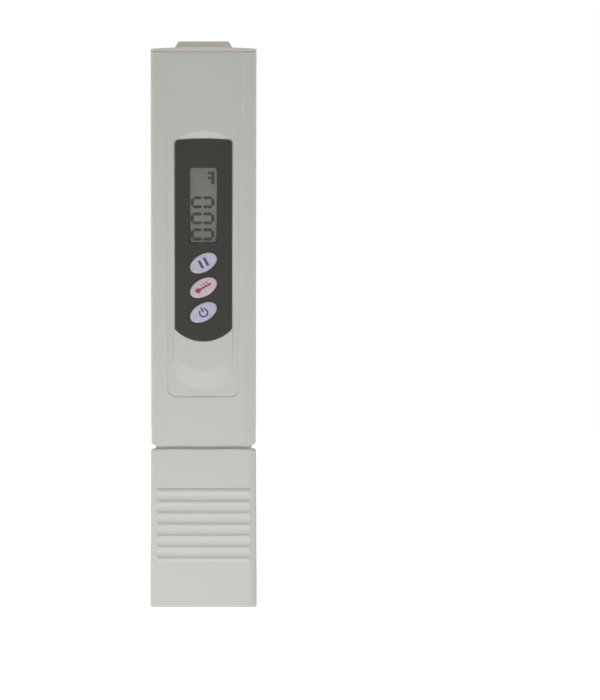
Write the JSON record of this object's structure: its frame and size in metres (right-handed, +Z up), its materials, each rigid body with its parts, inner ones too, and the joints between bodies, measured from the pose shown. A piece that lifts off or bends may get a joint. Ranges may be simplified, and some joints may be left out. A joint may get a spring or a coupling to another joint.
{
  "type": "tds meter pen",
  "caption": "Flat pocket water tester with a tilted display bed, oval keys, a ridged push-on probe cap, a pull-out battery tray at the top and a long pocket clip.",
  "frame": {"origin": "centre of the probe cap's flat bottom, on the pen's middle line", "axes": "+Z up the pen to the battery cap, -Y the display side, +X to the right seen from the display side"},
  "size_m": [0.029, 0.0193, 0.154],
  "materials": {
    "housing_plastic": "fine matt moulding",
    "overlay": "dark satin film",
    "clear_pane": "clear",
    "display_glass": "grey display, dark segments",
    "reflector_film": "satin",
    "frame_plastic": "white moulding",
    "contact_rubber": "striped silicone",
    "board_laminate": "green solder mask",
    "resin_drop": "black resin",
    "chip_black": "moulded",
    "crystal_can": "drawn can",
    "ceramic_chip": "ceramic with tinned ends",
    "resistor_chip": "tinned ends",
    "switch_plastic": "moulded",
    "plunger_plastic": "moulded",
    "key_lavender": "silver lacquer",
    "key_pink": "silver lacquer",
    "trimmer_blue": "moulded",
    "rotor_white": "moulded",
    "spring_contact": "plated strip",
    "bridge_metal": "nickel plated",
    "cell_steel": "polished can",
    "screw_steel": "zinc plated",
    "probe_plastic": "moulded",
    "seal_rubber": "matt",
    "electrode_metal": "satin",
    "sensor_metal": "satin can",
    "lead_wire": "insulated wire"
  },
  "bodies": {
    "housing": {"front_shell": "housing_plastic", "back_shell": "housing_plastic", "display_panel": "overlay", "display_window": "clear_pane", "lcd_glass": "display_glass", "lcd_reflector": "reflector_film", "lcd_frame": "frame_plastic", "zebra_strips": "contact_rubber", "main_board": "board_laminate", "controller_chip": "resin_drop", "amplifier_chip": "chip_black", "crystal": "crystal_can", "chip_capacitors": "ceramic_chip", "chip_resistors": "resistor_chip", "switch_bodies": "switch_plastic", "trimmer_body": "trimmer_blue", "board_screws": "screw_steel", "battery_contacts": "spring_contact", "probe_housing": "probe_plastic", "neck_seal": "seal_rubber", "probe_pins": "electrode_metal", "thermistor": "sensor_metal", "probe_leads": "lead_wire"},
    "battery_drawer": {"battery_cap": "housing_plastic", "battery_tray": "housing_plastic", "battery_bridge": "bridge_metal", "left_cell": "cell_steel", "right_cell": "cell_steel"},
    "hold_button": {"hold_key": "key_lavender", "hold_plunger": "plunger_plastic"},
    "temp_button": {"temp_key": "key_pink", "temp_plunger": "plunger_plastic"},
    "power_button": {"power_key": "key_lavender", "power_plunger": "plunger_plastic"},
    "trimmer_screw": {"trimmer_rotor": "rotor_white"},
    "clip": {"pocket_clip": "housing_plastic"},
    "cap": {"probe_cap": "housing_plastic"}
  },
  "joints": [
    {"name": "cap_pull", "type": "slide", "parent": "housing", "child": "cap", "axis": [0, 0, -1], "range_m": [0, 0.04]},
    {"name": "battery_pull", "type": "slide", "parent": "housing", "child": "battery_drawer", "axis": [0, 0, 1], "range_m": [0, 0.016]},
    {"name": "hold_press", "type": "slide", "parent": "housing", "child": "hold_button", "axis": [0, 1, 0], "range_m": [0, 0.0003], "stiffness_N_per_m": 4000, "springref_m": -0.0003},
    {"name": "temp_press", "type": "slide", "parent": "housing", "child": "temp_button", "axis": [0, 1, 0], "range_m": [0, 0.0003], "stiffness_N_per_m": 4000, "springref_m": -0.0003},
    {"name": "power_press", "type": "slide", "parent": "housing", "child": "power_button", "axis": [0, 1, 0], "range_m": [0, 0.0003], "stiffness_N_per_m": 4000, "springref_m": -0.0003},
    {"name": "trimmer_turn", "type": "hinge", "parent": "housing", "child": "trimmer_screw", "pos_m": [0, 0.0022, 0.1282], "axis": [0, 1, 0], "range_deg": [-135, 135]},
    {"name": "clip_flex", "type": "hinge", "parent": "housing", "child": "clip", "pos_m": [0, 0.0063, 0.1195], "axis": [1, 0, 0], "range_deg": [0, 4], "stiffness_Nm_per_rad": 5, "springref_deg": -1.15}
  ]
}
